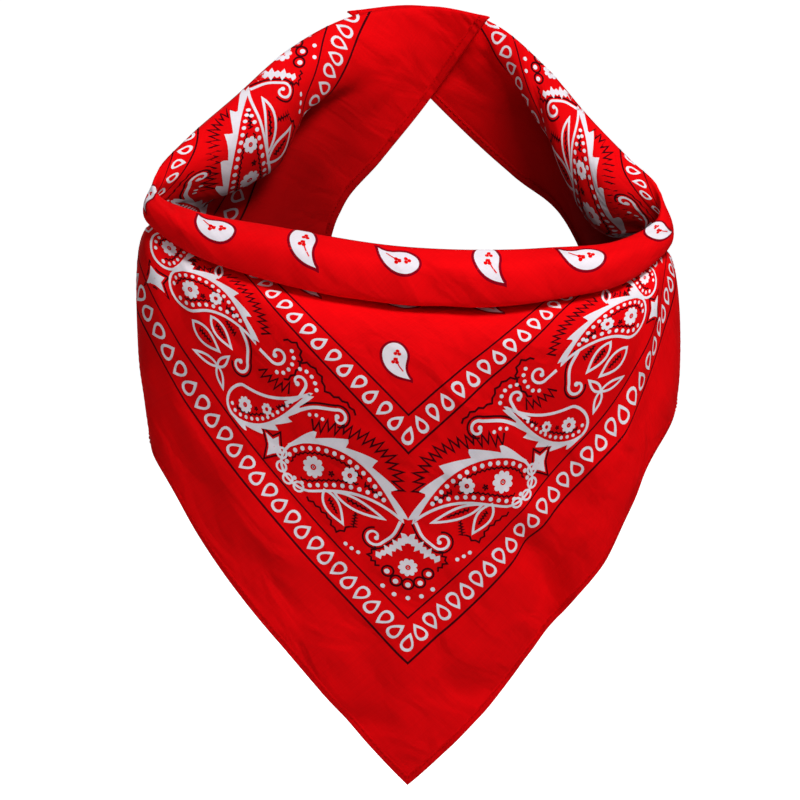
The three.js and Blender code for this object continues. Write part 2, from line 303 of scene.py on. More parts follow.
class Cloth:
    """The worn cloth as a net of points over the flat square, one corner at the front point."""

    def __init__(self, sizes):
        self.side = sizes.side
        self.half_diagonal = sizes.side / ROOT2
        self.half = sizes.thickness / 2
        self.inset = 0.6
        self.cell = (self.side - 2 * self.inset) / sizes.net
        steps = np.linspace(self.inset, self.side - self.inset, sizes.net + 1)
        u, v = np.meshgrid(steps, steps, indexing="ij")
        self.flat_u = u
        self.flat_v = v
        s = (u - v) / ROOT2
        t = self.half_diagonal - (u + v) / ROOT2
        self.points = self.worn(s, t, sizes.layer_offset, sizes.crease_depth)
        along_u = np.gradient(self.points, axis=0)
        along_v = np.gradient(self.points, axis=1)
        self.normals = unit(np.cross(along_u, along_v))

    def worn(self, s, t, offset, crease_depth):
        """The middle of the folded cloth, plus or minus the layer's offset along its facing,
        turned through a half round at the fold, plus the creases."""
        depth = np.abs(t)
        angle = np.minimum(depth / offset, np.pi / 2)
        below = np.maximum(depth - offset * np.pi / 2, 0.0)
        base = middle(s, below, self.half_diagonal)
        out = facing(s, np.maximum(below, 0.6), self.half_diagonal)
        down = unit(middle(s, 0 * s + 2.0, self.half_diagonal)
                    - middle(s, 0 * s, self.half_diagonal))
        side = np.sign(t) * offset * np.sin(angle) + crease_depth * creases(s, depth)
        return base + out * side[..., None] - down * (offset * np.cos(angle))[..., None]

    def at(self, s, t, proud):
        """Points on the net at (s, t), moved off the printed face by proud: each cell is two
        triangles that share its diagonal along the fold, and a point is weighed in its own."""
        u = ((self.half_diagonal - t) + s) / ROOT2
        v = ((self.half_diagonal - t) - s) / ROOT2
        last = self.points.shape[0] - 2
        across = np.clip((u - self.inset) / self.cell, 0, last + 1)
        down = np.clip((v - self.inset) / self.cell, 0, last + 1)
        i = np.minimum(across.astype(int), last)
        j = np.minimum(down.astype(int), last)
        a = (across - i)[..., None]
        b = (down - j)[..., None]
        near = (a + b) <= 1.0

        def weigh(net):
            first = net[i, j] * (1 - a - b) + net[i + 1, j] * a + net[i, j + 1] * b
            other = net[i + 1, j + 1] * (a + b - 1)
            other = other + net[i, j + 1] * (1 - a) + net[i + 1, j] * (1 - b)
            return np.where(near, first, other)

        lift = np.asarray(self.half + proud)
        lift = lift[..., None] if lift.ndim else lift
        return weigh(self.points) + unit(weigh(self.normals)) * lift


def mesh_piece(name, points, faces, material, uv=None, smooth=True):
    """A mesh object at the origin from millimetre points, with one material."""
    mesh = bpy.data.meshes.new(name)
    mesh.from_pydata((np.asarray(points) * 0.001).tolist(), [], np.asarray(faces).tolist())
    mesh.update()
    if uv is not None:
        corner = np.empty(len(mesh.loops), dtype=np.int32)
        mesh.loops.foreach_get("vertex_index", corner)
        layer = mesh.uv_layers.new(name="flat_cloth")
        layer.data.foreach_set("uv", np.asarray(uv)[corner].astype(np.float32).ravel())
    mesh.polygons.foreach_set("use_smooth", [smooth] * len(mesh.polygons))
    mesh.materials.append(material)
    piece = bpy.data.objects.new(name, mesh)
    bpy.context.scene.collection.objects.link(piece)
    return piece


def net_faces(rows, columns, closed_columns=False, start=0):
    """Four-cornered faces of a net with rows times columns points, one column joined back to
    the first where closed."""
    reach = columns if closed_columns else columns - 1
    i, j = np.meshgrid(np.arange(rows - 1), np.arange(reach), indexing="ij")
    after = (j + 1) % columns
    faces = np.stack([i * columns + j, (i + 1) * columns + j,
                      (i + 1) * columns + after, i * columns + after], -1)
    return faces.reshape(-1, 4) + start


def new_group(name, inputs, outputs):
    """An empty shader node group with named float or colour sockets."""
    group = bpy.data.node_groups.new(name, "ShaderNodeTree")
    for label, kind, value in inputs:
        socket = group.interface.new_socket(name=label, in_out="INPUT", socket_type=kind)
        socket.default_value = value
    for label, kind in outputs:
        group.interface.new_socket(name=label, in_out="OUTPUT", socket_type=kind)
    nodes = group.nodes
    return group, nodes.new("NodeGroupInput"), nodes.new("NodeGroupOutput")


def math_node(tree, operation, first, second=None):
    """One Math node; an input is a number or another node's output."""
    node = tree.nodes.new("ShaderNodeMath")
    node.operation = operation
    for socket, value in zip(node.inputs, (first, second)):
        if value is None:
            continue
        if isinstance(value, bpy.types.NodeSocket):
            tree.links.new(value, socket)
        else:
            socket.default_value = value
    return node.outputs[0]


def weave_group():
    """Plain weave: the product of two sine waves, one for each run of threads, over uneven
    yarns, with a slow drift of tone. Gives the threads' height, and a tone about 0.5."""
    group, source, sink = new_group(
        "cotton_weave",
        [("Vector", "NodeSocketVector", (0, 0, 0)), ("Threads", "NodeSocketFloat", 900.0),
         ("Slub", "NodeSocketFloat", 0.5)],
        [("Height", "NodeSocketFloat"), ("Tone", "NodeSocketFloat"),
         ("Rumple", "NodeSocketFloat")])
    link = group.links.new
    split = group.nodes.new("ShaderNodeSeparateXYZ")
    link(source.outputs["Vector"], split.inputs[0])
    waves = []
    for axis in ("X", "Y"):
        turned = math_node(group, "MULTIPLY", split.outputs[axis], source.outputs["Threads"])
        waves.append(math_node(group, "SINE", math_node(group, "MULTIPLY", turned, np.pi)))
    over = math_node(group, "MULTIPLY", waves[0], waves[1])
    yarns = []
    for stretch in ((620.0, 9.0, 1.0), (9.0, 620.0, 1.0)):
        place = group.nodes.new("ShaderNodeMapping")
        place.inputs["Scale"].default_value = stretch
        link(source.outputs["Vector"], place.inputs["Vector"])
        noise = group.nodes.new("ShaderNodeTexNoise")
        noise.inputs["Scale"].default_value = 1.0
        noise.inputs["Detail"].default_value = 2.0
        link(place.outputs["Vector"], noise.inputs["Vector"])
        yarns.append(noise.outputs["Fac"])
    slub = math_node(group, "ADD", yarns[0], yarns[1])
    slub = math_node(group, "MULTIPLY", slub, source.outputs["Slub"])
    height = math_node(group, "ADD", math_node(group, "MULTIPLY", over, 0.25), slub)
    link(height, sink.inputs["Height"])
    drift = group.nodes.new("ShaderNodeTexNoise")
    drift.inputs["Scale"].default_value = 14.0
    drift.inputs["Detail"].default_value = 3.0
    link(source.outputs["Vector"], drift.inputs["Vector"])
    tone = math_node(group, "MULTIPLY", drift.outputs["Fac"], 0.6)
    tone = math_node(group, "ADD", tone, math_node(group, "MULTIPLY", slub, 0.4))
    link(tone, sink.inputs["Tone"])
    # Soft small wrinkles of worn cotton, drawn out along one run of the threads.
    run = group.nodes.new("ShaderNodeMapping")
    run.inputs["Scale"].default_value = (26.0, 13.0, 1.0)
    run.inputs["Rotation"].default_value = (0.0, 0.0, 0.5)
    link(source.outputs["Vector"], run.inputs["Vector"])
    rumple = group.nodes.new("ShaderNodeTexNoise")
    rumple.inputs["Scale"].default_value = 1.0
    rumple.inputs["Detail"].default_value = 2.5
    rumple.inputs["Roughness"].default_value = 0.4
    rumple.inputs["Distortion"].default_value = 0.9
    link(run.outputs["Vector"], rumple.inputs["Vector"])
    link(rumple.outputs["Fac"], sink.inputs["Rumple"])
    return group


def painted_shade_group():
    """Painted shade inside the loop, 0 to 1: how far the colour is darkened for the shade that
    falls inside the worn loop, on the layer against the neck, from a little below the fold, and
    more at the sides than at the nape, with Left and Right as its strength on each side. The
    flat map's u and v give the two cloth directions as their difference and their sum."""
    group, source, sink = new_group(
        "painted_hollow_shade",
        [("Vector", "NodeSocketVector", (0, 0, 0)), ("Left", "NodeSocketFloat", 0.66),
         ("Right", "NodeSocketFloat", 0.88)],
        [("Depth", "NodeSocketFloat")])
    link = group.links.new
    split = group.nodes.new("ShaderNodeSeparateXYZ")
    link(source.outputs["Vector"], split.inputs[0])
    over = math_node(group, "ADD", split.outputs["X"], split.outputs["Y"])
    beside = math_node(group, "SUBTRACT", split.outputs["X"], split.outputs["Y"])

    def stepped(value, low, high, start=0.0, end=1.0):
        node = group.nodes.new("ShaderNodeMapRange")
        node.interpolation_type = "SMOOTHSTEP"
        for place, number in enumerate((low, high, start, end), start=1):
            node.inputs[place].default_value = number
        link(value, node.inputs[0])
        return node.outputs[0]

    # Painted shade: none near the fold, more below it and toward the sides of the loop.
    below = stepped(over, 1.02, 1.15)
    side = stepped(math_node(group, "ABSOLUTE", beside), 0.98, 0.6)
    left = stepped(beside, -0.45, 0.45, 1.0, 0.0)
    right = math_node(group, "SUBTRACT", 1.0, left)
    strength = math_node(group, "ADD", math_node(group, "MULTIPLY", left, source.outputs["Left"]),
                         math_node(group, "MULTIPLY", right, source.outputs["Right"]))
    inside = math_node(group, "MULTIPLY", below, side)
    link(math_node(group, "MULTIPLY", inside, strength), sink.inputs["Depth"])
    return group


def cotton(name, deep, mid, bright, threads=900.0, bump=0.12, sheen=0.1, rough=0.86):
    """Dyed plain-weave cotton on the piece's own flat-cloth map: the tone picks between a deep,
    a middle and a bright shade, and the threads are a fine bump. Inside the worn loop the colour
    is mixed toward a near-black red as painted shade."""
    material = bpy.data.materials.new(name)
    material.use_nodes = True
    material.diffuse_color = (*mid, 1.0)
    tree = material.node_tree
    tree.nodes.clear()
    link = tree.links.new
    finish = tree.nodes.new("ShaderNodeOutputMaterial")
    shader = tree.nodes.new("ShaderNodeBsdfPrincipled")
    shader.inputs["Sheen Weight"].default_value = sheen
    shader.inputs["Sheen Roughness"].default_value = 0.55
    shader.inputs["Sheen Tint"].default_value = (*bright, 1.0)
    shader.inputs["Specular IOR Level"].default_value = 0.04
    link(shader.outputs["BSDF"], finish.inputs["Surface"])
    flat = tree.nodes.new("ShaderNodeUVMap")
    flat.uv_map = "flat_cloth"
    weave = tree.nodes.new("ShaderNodeGroup")
    weave.node_tree = bpy.data.node_groups["cotton_weave"]
    weave.inputs["Threads"].default_value = threads
    link(flat.outputs["UV"], weave.inputs["Vector"])
    shades = tree.nodes.new("ShaderNodeValToRGB")
    shades.color_ramp.elements[0].position = 0.3
    shades.color_ramp.elements[0].color = (*deep, 1.0)
    shades.color_ramp.elements[1].position = 0.72
    shades.color_ramp.elements[1].color = (*bright, 1.0)
    step = shades.color_ramp.elements.new(0.52)
    step.color = (*mid, 1.0)
    link(weave.outputs["Tone"], shades.inputs["Fac"])
    # Painted shade: inside the loop the colour is mixed toward a near-black red, for the shade that
    # falls there.
    hollow = tree.nodes.new("ShaderNodeGroup")
    hollow.node_tree = bpy.data.node_groups["painted_hollow_shade"]
    link(flat.outputs["UV"], hollow.inputs["Vector"])
    dim = tree.nodes.new("ShaderNodeMix")
    dim.data_type = "RGBA"
    dim.inputs[7].default_value = (mid[0] * 0.06, 0.0, 0.0, 1.0)
    link(hollow.outputs["Depth"], dim.inputs[0])
    link(shades.outputs["Color"], dim.inputs[6])
    link(dim.outputs[2], shader.inputs["Base Color"])
    worn = math_node(tree, "MULTIPLY", weave.outputs["Tone"], 0.12)
    link(math_node(tree, "ADD", worn, rough - 0.06), shader.inputs["Roughness"])
    raised = tree.nodes.new("ShaderNodeBump")
    raised.inputs["Strength"].default_value = bump
    raised.inputs["Distance"].default_value = 0.0004
    link(weave.outputs["Height"], raised.inputs["Height"])
    soft = tree.nodes.new("ShaderNodeBump")
    soft.inputs["Strength"].default_value = 0.7
    soft.inputs["Distance"].default_value = 0.005
    link(weave.outputs["Rumple"], soft.inputs["Height"])
    link(soft.outputs["Normal"], raised.inputs["Normal"])
    link(raised.outputs["Normal"], shader.inputs["Normal"])
    return material


def shade(colour, factor):
    """A colour scaled by a factor and kept within 0 to 1."""
    return tuple(float(min(max(value * factor, 0.0), 1.0)) for value in colour)


WORK = {}


class BANDANA_OT_cloth(bpy.types.Operator):
    """Make the worn cloth as one sheet over the flat square"""

    bl_idname = "bandana.cloth"
    bl_label = "Cloth"

    def execute(self, context):
        sizes = context.scene.bandana_cloth
        cloth = Cloth(sizes)
        WORK["cloth"] = cloth
        weave_group()
        painted_shade_group()
        ground = tuple(sizes.ground)
        WORK["cotton"] = cotton("printed_cotton_red", shade(ground, 0.84), ground,
                                shade(ground, 1.1))
        WORK["hem_cotton"] = cotton("hem_cotton_red", shade(ground, 0.74), shade(ground, 0.92),
                                    ground, threads=900.0, bump=0.2)
        WORK["thread"] = cotton("hem_thread_red", shade(ground, 0.66), shade(ground, 0.8),
                                shade(ground, 0.94), threads=2400.0, bump=0.3, sheen=0.4)
        colours = context.scene.bandana_print
        for key, colour in (("white", colours.white), ("ink", colours.ink),
                            ("crimson", colours.crimson), ("mark", ground)):
            tone = tuple(colour)
            low = 0.9 if key == "white" else 0.6
            WORK[key] = cotton(f"print_{key}", shade(tone, low), tone, shade(tone, 1.12),
                               bump=0.1, sheen=0.05)
        count = cloth.points.shape[0]
        i, j = np.meshgrid(np.arange(count - 1), np.arange(count - 1), indexing="ij")
        near, right = i * count + j, (i + 1) * count + j
        left, far = i * count + j + 1, (i + 1) * count + j + 1
        faces = np.concatenate([np.stack([near, right, left], -1).reshape(-1, 3),
                                np.stack([right, far, left], -1).reshape(-1, 3)])
        flat = np.stack([cloth.flat_u, cloth.flat_v], -1).reshape(-1, 2) / cloth.side
        piece = mesh_piece("cloth", cloth.points.reshape(-1, 3), faces, WORK["cotton"], flat)
        wall = piece.modifiers.new("cloth_thickness", "SOLIDIFY")
        wall.thickness = sizes.thickness * 0.001
        wall.offset = 0.0
        wall.use_rim = True
        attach(piece, "root")
        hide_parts(*LAYER_NODES)
        WORK["sheet"] = piece
        return {"FINISHED"}


class BANDANA_OT_hem(bpy.types.Operator):
    """Turn the narrow hem along the four edges of the cloth"""

    bl_idname = "bandana.hem"
    bl_label = "Hem"

    def execute(self, context):
        sizes = context.scene.bandana_cloth
        cloth = WORK["cloth"]
        side = cloth.side
        width = sizes.hem_width
        # The rolled section: distance in from the edge, and height off the cloth's middle.
        section = np.array([
            (0.0, -0.30), (0.35, 0.16), (1.2, 0.36), (2.6, 0.34), (3.9, 0.27), (4.6, 0.33),
            (width, 0.27), (width + 0.1, -0.3), (width - 0.2, -0.72), (3.0, -0.76),
            (1.0, -0.74), (0.2, -0.62),
        ])
        along = np.linspace(0.0, 1.0, 241)
        points, faces, flat = [], [], []
        for edge in range(4):
            inward = np.broadcast_to(section[:, 0], (len(along), len(section)))
            run = inward + along[:, None] * (side - 2 * inward)
            u, v = ((run, inward), (side - inward, run), (side - run, side - inward),
                    (inward, side - run))[edge]
            s = (u - v) / ROOT2
            t = cloth.half_diagonal - (u + v) / ROOT2
            height = np.broadcast_to(section[:, 1], u.shape) - cloth.half
            faces.append(net_faces(len(along), len(section), True, len(along) * len(section) * edge))
            points.append(cloth.at(s, t, height).reshape(-1, 3))
            flat.append(np.stack([u, v], -1).reshape(-1, 2) / side)
        faces = np.concatenate(faces)[:, ::-1]
        piece = mesh_piece("hem", np.concatenate(points), faces, WORK["hem_cotton"],
                           np.concatenate(flat))
        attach(piece, "root")
        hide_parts(*HEM_NODES)
        WORK.setdefault("on_cloth", []).append(piece)
        return {"FINISHED"}


class BANDANA_OT_stitches(bpy.types.Operator):
    """Run the hem stitches along the four edges of the cloth"""

    bl_idname = "bandana.stitches"
    bl_label = "Hem stitches"

    def execute(self, context):
        sizes = context.scene.bandana_cloth
        cloth = WORK["cloth"]
        side = cloth.side
        inset = sizes.hem_width * 0.8
        count = int((side - 2 * inset) / sizes.stitch_pitch)
        # A stitch: five stations of length, half width and height, with four points round each.
        along = np.array([-0.42, -0.26, 0.0, 0.26, 0.42]) * sizes.stitch_pitch
        wide = np.array([0.05, 0.2, 0.24, 0.2, 0.05])
        rise = np.array([0.12, 0.42, 0.52, 0.42, 0.12])
        round_by = np.array([(-1.0, 0.25), (0.0, 1.0), (1.0, 0.25), (0.0, -0.4)])
        middles = inset + (np.arange(count) + 0.5) * (side - 2 * inset) / count
        run = middles[:, None, None] + along[None, :, None] + 0 * round_by[None, None, :, 0]
        inward = inset + wide[None, :, None] * round_by[None, None, :, 0] + 0 * run
        height = 0.05 + rise[None, :, None] * round_by[None, None, :, 1] + 0 * run
        each = net_faces(5, 4, True)
        each = np.concatenate([each, [[0, 1, 2, 3], [19, 18, 17, 16]]])
        points, faces, flat = [], [], []
        for edge in range(4):
            u, v = ((run, inward), (side - inward, run), (side - run, side - inward),
                    (inward, side - run))[edge]
            s = (u - v) / ROOT2
            t = cloth.half_diagonal - (u + v) / ROOT2
            start = (np.arange(count) + edge * count)[:, None, None] * 20
            faces.append((each[None] + start).reshape(-1, 4))
            points.append(cloth.at(s, t, height).reshape(-1, 3))
            flat.append(np.stack([u, v], -1).reshape(-1, 2) / side)
        faces = np.concatenate(faces)[:, ::-1]
        piece = mesh_piece("hem_stitches", np.concatenate(points), faces, WORK["thread"],
                           np.concatenate(flat))
        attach(piece, "root")
        WORK.setdefault("on_cloth", []).append(piece)
        return {"FINISHED"}


def mitred(path, closed):
    """Sideways steps for a path: at each point the two neighbouring normals are averaged, and
    lengthened where the path turns, so that a line keeps its width round a corner."""
    ahead = np.roll(path, -1, axis=0) - path
    if not closed:
        ahead[-1] = ahead[-2]
    run = unit(ahead)
    before = np.roll(run, 1, axis=0)
    if not closed:
        before[0] = run[0]
    normal = np.stack([run[:, 1], -run[:, 0]], -1)
    earlier = np.stack([before[:, 1], -before[:, 0]], -1)
    joined = unit(normal + earlier)
    turn = np.maximum((joined * normal).sum(-1, keepdims=True), 0.45)
    return joined / turn


def line(colour, path, half_width, closed=False):
    """A drawn line: the path, and the same path moved to its two sides."""
    path = np.asarray(path, dtype=float)
    wide = np.asarray(half_width, dtype=float)
    wide = wide[:, None] if wide.ndim else wide
    step = mitred(path, closed) * wide
    return colour, np.stack([path - step, path + step]), closed


def band(colour, first, second, rows=3, closed=False):
    """A filled band between two paths of as many points, ruled straight across."""
    share = np.linspace(0.0, 1.0, rows)[:, None, None]
    return colour, first[None] * (1 - share) + second[None] * share, closed


def through(points, count):
    """A smooth path through given points, evenly spaced by their straight distances."""
    points = np.array(points, dtype=float)
    knots = np.concatenate([[0.0], np.cumsum(np.hypot(*np.diff(points, axis=0).T))])
    at = np.linspace(0.0, knots[-1], count)
    return np.stack([curve(knots, points[:, 0], at), curve(knots, points[:, 1], at)], -1)


def along_path(path, spacing, closed=False):
    """Points at an even spacing along a path."""
    loop = np.concatenate([path, path[:1]]) if closed else path
    knots = np.concatenate([[0.0], np.cumsum(np.hypot(*np.diff(loop, axis=0).T))])
    count = max(int(round(knots[-1] / spacing)), 1)
    at = (np.arange(count) + 0.5) * knots[-1] / count
    return np.stack([np.interp(at, knots, loop[:, 0]), np.interp(at, knots, loop[:, 1])], -1)


def dot(colour, centre, radius):
    """A small disc: a circle's chords, each ruled across at five heights."""
    height = np.sin(np.linspace(-1.25, 1.25, 5))
    reach = np.sqrt(1.0 - height ** 2)
    left = np.stack([-reach, height], -1) * radius + centre
    right = np.stack([reach, height], -1) * radius + centre
    return band(colour, left, right, rows=3)


def dots(colour, path, spacing, radius, closed=False):
    """A row of dots at an even spacing."""
    return [dot(colour, place, radius) for place in along_path(path, spacing, closed)]


def rosette(colour, centre, radius, petals, hole=0.2, depth=0.24, turn=0.0, sharp=0.7):
    """A flower or star: a ring whose rim swells and sinks once a petal."""
    angle = np.linspace(0.0, 2 * np.pi, petals * 6, endpoint=False)
    rim = 1.0 - depth + depth * np.abs(np.cos(petals * angle / 2)) ** sharp
    way = np.stack([np.cos(angle + turn), np.sin(angle + turn)], -1)
    inside = way * radius * hole + centre
    return band(colour, inside, way * (radius * rim)[:, None] + centre, 3, True)


def ring(colour, centre, radius, half_width, count=18):
    """A drawn circle."""
    angle = np.linspace(0.0, 2 * np.pi, count, endpoint=False)
    path = np.stack([np.cos(angle), np.sin(angle)], -1) * radius + centre
    return line(colour, path, half_width, True)


def zigzag(colour, points, pitch, height, half_width, lean=0.35):
    """A grass-like zigzag along given points: its strokes lean one way, and are uneven by
    a slow wave."""
    smooth = through(points, 60)
    places = along_path(smooth, pitch / 2)
    side = mitred(places, False)
    count = np.arange(len(places))
    swing = height * (1.0 + 0.3 * np.sin(count * 1.7 + points[0][0])) * (-1.0) ** count
    run = unit(np.gradient(places, axis=0))
    path = places + side * swing[:, None] + run * (swing * lean)[:, None]
    return line(colour, path, half_width)


def sprig(colour, start, end, height=1.5):
    """A tiny feathered twig: a stem, and a close zigzag that narrows to its tip."""
    stem = np.linspace(start, end, 11)
    side = mitred(stem, False)
    count = np.arange(11)
    swing = height * (1.0 - 0.6 * count / 10) * (-1.0) ** count
    return [line(colour, stem[::2], 0.34), line(colour, stem + side * swing[:, None], 0.34)]


def scroll(colour, stem, centre, turns, half_width, hand=1.0, edge=0.0):
    """A stem through given points, and a curl at its end: a radius that shrinks evenly
    while it winds about its centre. An ink line may follow outside it, at the edge distance."""
    stem = through(stem, 12)
    centre = np.array(centre, dtype=float)
    arm = stem[-1] - centre
    share = np.linspace(0.0, 1.0, 24)
    angle = np.arctan2(arm[1], arm[0]) + hand * 2 * np.pi * turns * share
    reach = np.hypot(*arm) * (1.0 - 0.72 * share)
    curl = centre + np.stack([np.cos(angle), np.sin(angle)], -1) * reach[:, None]
    path = np.concatenate([stem[:-1], curl])
    width = half_width * (1.0 - 0.3 * np.linspace(0.0, 1.0, len(path)))
    marks = [line(colour, path, width), dot(colour, path[-1], half_width * 1.5)]
    if edge:
        outside = path[:27] + mitred(path, False)[:27] * edge * hand
        marks.append(line("ink", outside, 0.48))
    return marks


def star(colour, centre, tips, edge=0.0):
    """A star or bird, filled to a rim of given tips and hollows: each is a direction in
    degrees and a reach. An ink line may follow it at the edge distance."""
    angle = np.radians([tip[0] for tip in tips])
    way = np.stack([np.cos(angle), np.sin(angle)], -1)
    rim = way * np.array([tip[1] for tip in tips])[:, None] + centre
    marks = [band(colour, way * 0.2 + centre, rim, 4, True)]
    if edge:
        marks.append(line("ink", moved_in(rim, -edge), 0.45, True))
    return marks


def drop_outline(centre, length, width, toward, count=18):
    """A drop: sin of the angle across, shrunk near the tip, and cos along; toward is the tip's
    direction."""
    angle = np.linspace(0.0, 2 * np.pi, count, endpoint=False) + 0.0001
    across = 0.5 * width * np.sin(angle) * np.abs(np.sin(angle / 2)) ** 1.1 * 1.12
    along = 0.5 * length * np.cos(angle)
    way = unit(np.array(toward, dtype=float))
    side = np.array([way[1], -way[0]])
    return centre + along[:, None] * way + across[:, None] * side


def hollow_drop(colour, centre, length, width, toward, stroke):
    """A white drop with its inside left as ground."""
    way = unit(np.array(toward, dtype=float))
    outer = drop_outline(centre, length, width, toward)
    inner = drop_outline(centre - way * stroke * 0.3, length - stroke * 3.0,
                         width - stroke * 2.0, toward)
    return band(colour, inner, outer, 2, True)


def paisley(head, bend, tail, radius, count=26):
    """A paisley's two sides from its round head to its tail: a bent spine, with half a width
    that is a circle's over the head and narrows as a cosine to the tail's tip."""
    share = 0.5 - 0.5 * np.cos(np.linspace(0.04, np.pi, count))
    head, bend, tail = (np.array(point, dtype=float) for point in (head, bend, tail))
    w = share[:, None]
    spine = (1 - w) ** 2 * head + 2 * w * (1 - w) * bend + w ** 2 * tail
    run = unit(2 * (1 - w) * (bend - head) + 2 * w * (tail - bend))
    side = np.stack([run[:, 1], -run[:, 0]], -1)
    length = np.hypot(*np.diff(spine, axis=0).T).sum()
    cap = 1.05 * radius / length
    round_part = np.sqrt(np.clip(1.0 - (1.0 - share / cap) ** 2, 0.0, 1.0))
    taper = np.cos(np.pi / 2 * np.clip((share - cap) / (1 - cap), 0.0, 1.0)) ** 1.2
    wide = radius * np.where(share < cap, round_part, taper) + 0.05
    return spine - side * wide[:, None], spine + side * wide[:, None]


def moved_in(path, inward):
    """A closed path moved toward its own inside."""
    step = mitred(path, True)
    after = np.roll(path, -1, axis=0)
    area = (path[:, 0] * after[:, 1] - path[:, 1] * after[:, 0]).sum()
    return path - step * inward * np.sign(area)


def crest(colour, edge, away, height, teeth):
    """A band of sails that stands off an edge: each tooth rises slowly, leans toward the tail
    and falls sharply."""
    smooth = through(edge[::3], teeth * 9)
    side = mitred(smooth, False) * away
    share = np.linspace(0.0, 0.999, len(smooth))
    saw = (share * teeth) % 1.0
    saw = np.where(saw < 0.88, (saw / 0.88) ** 1.3, (1.0 - saw) / 0.12)
    swell = np.sin(np.pi * np.clip(share * 0.86 + 0.1, 0, 1)) ** 0.5
    rise = height * swell * (0.3 + 0.7 * saw)
    lean = unit(np.gradient(smooth, axis=0)) * (saw * height * 0.6)[:, None]
    return band(colour, smooth - side * 0.4, smooth + side * rise[:, None] + lean, 4)


def flower(centre, radius, petals, heart):
    """A white flower with an ink ring round its coloured heart."""
    return [rosette("white", centre, radius, petals, 0.08, 0.22, 0.3, 0.8),
            ring("mark", centre, radius * 0.2, 0.42, 12),
            dot(heart, centre, radius * 0.1)]


def large_paisley(head, bend, tail, radius, away, teeth, dot_radius, both_rows=True):
    """A border paisley: outline, a crest of sails on one side, dotted rows, a scalloped inner
    line, two flowers and its sprigs."""
    left, right = paisley(head, bend, tail, radius)
    crested = left if away < 0 else right
    outline = np.concatenate([left, right[::-1][1:]])
    marks = [line("white", outline, 0.72, True)]
    marks.append(crest("white", crested[5:-2], away, radius * 0.55, teeth))
    inner = moved_in(outline, 1.9 + dot_radius)
    count = len(left)
    waved = moved_in(outline, 3.1 + 2 * dot_radius)
    rows = [(inner[1:count - 6], waved[3:count - 10]), (inner[count + 6:-1], waved[count + 9:-2])]
    for dotted, scalloped in rows if both_rows else rows[:1] if away < 0 else rows[1:]:
        marks += dots("white", dotted, dot_radius * 3.7, dot_radius)
        marks.append(zigzag("ink", scalloped, 2.6, 0.42, 0.4, 0.0))
    spine = (left + right) / 2
    big, small = spine[int(count * 0.34)], spine[int(count * 0.5)]
    marks += flower(big, radius * 0.46, 9, "crimson") + flower(small, radius * 0.34, 7, "ink")
    across = np.array([big[1] - small[1], small[0] - big[0]])
    beside = (big + small) / 2 + unit(across) * radius * 0.1
    marks.append(rosette("ink", beside, radius * 0.14, 5, 0.1, 0.6))
    marks += sprig("ink", spine[int(count * 0.6)], spine[int(count * 0.72)], radius * 0.1)
    return marks


def leaf(colour, root, tip, width, half_width=0.66, veined=True):
    """An outlined leaf: two bows between root and tip, with a dark sprig inside."""
    root, tip = np.array(root, dtype=float), np.array(tip, dtype=float)
    share = np.linspace(0.0, 1.0, 12)[:, None]
    run = unit(tip - root)
    side = np.array([run[1], -run[0]])
    bow = np.sin(np.pi * share ** 0.8) * width
    there = root + (tip - root) * share - side * bow
    back = root + (tip - root) * share + side * bow * 0.85
    path = np.concatenate([there, back[::-1][1:-1]])
    marks = [line(colour, path, half_width, True)]
    if veined:
        marks += sprig("ink", root + (tip - root) * 0.25, root + (tip - root) * 0.7, 1.0)
    return marks


def field_paisley(place, lying):
    """A single white paisley of the plain centre, with a crimson edge and a two-flower sprig."""
    local = paisley((-0.6, -10.2), (-5.4, 4.4), (5.8, 10.8), 6.3, 30)
    outline = np.concatenate([local[0], local[1][::-1][1:]])
    stem = through([(2.2, 6.6), (-0.4, 2.6), (-0.9, -1.2)], 7)
    marks = [line("crimson", moved_in(outline, -0.55), 0.75, True),
             band("white", local[0], local[1], 9), line("mark", stem, 0.32)]
    for x, y in ((-1.9, 0.9), (-0.7, -4.2)):
        for k in range(3):
            turn = 2.1 * k + 0.6
            petal = np.array((x + 1.15 * np.cos(turn), y + 1.15 * np.sin(turn)))
            marks.append(dot("mark", petal, 1.05))
    placed = []
    for colour, net, closed in marks:
        local = np.stack([-net[..., 1], -net[..., 0]], -1) if lying else net
        placed.append((colour, local + np.array(place), closed))
    return placed


def side_copies(marks, side):
    """Marks in (run, inward) places of one half side, on all four sides and mirrored there."""
    for colour, net, closed in marks:
        q = net[..., 1]
        for p in (net[..., 0], side - net[..., 0]):
            for u, v in ((p, q), (side - q, p), (side - p, side - q), (q, side - p)):
                yield colour, np.stack([u, v], -1), closed


def corner_copies(marks, side):
    """Marks on the diagonal of one corner, on all four corners."""
    for colour, net, closed in marks:
        p, q = net[..., 0], net[..., 1]
        for u, v in ((p, q), (side - q, p), (side - p, side - q), (q, side - p)):
            yield colour, np.stack([u, v], -1), closed


# The small bird of the border: directions in degrees with their reach, tip and hollow by turns.
BIRD = ((10, 7.6), (40, 3.6), (74, 6.2), (104, 3.4), (128, 3.2), (168, 6.0), (206, 3.4),
        (240, 4.0), (266, 7.2), (300, 3.5), (328, 3.3))

# How far each colour of the print stands off the cotton, in millimetres.
PROUD = {"ink": 0.1, "crimson": 0.12, "white": 0.17, "mark": 0.23}


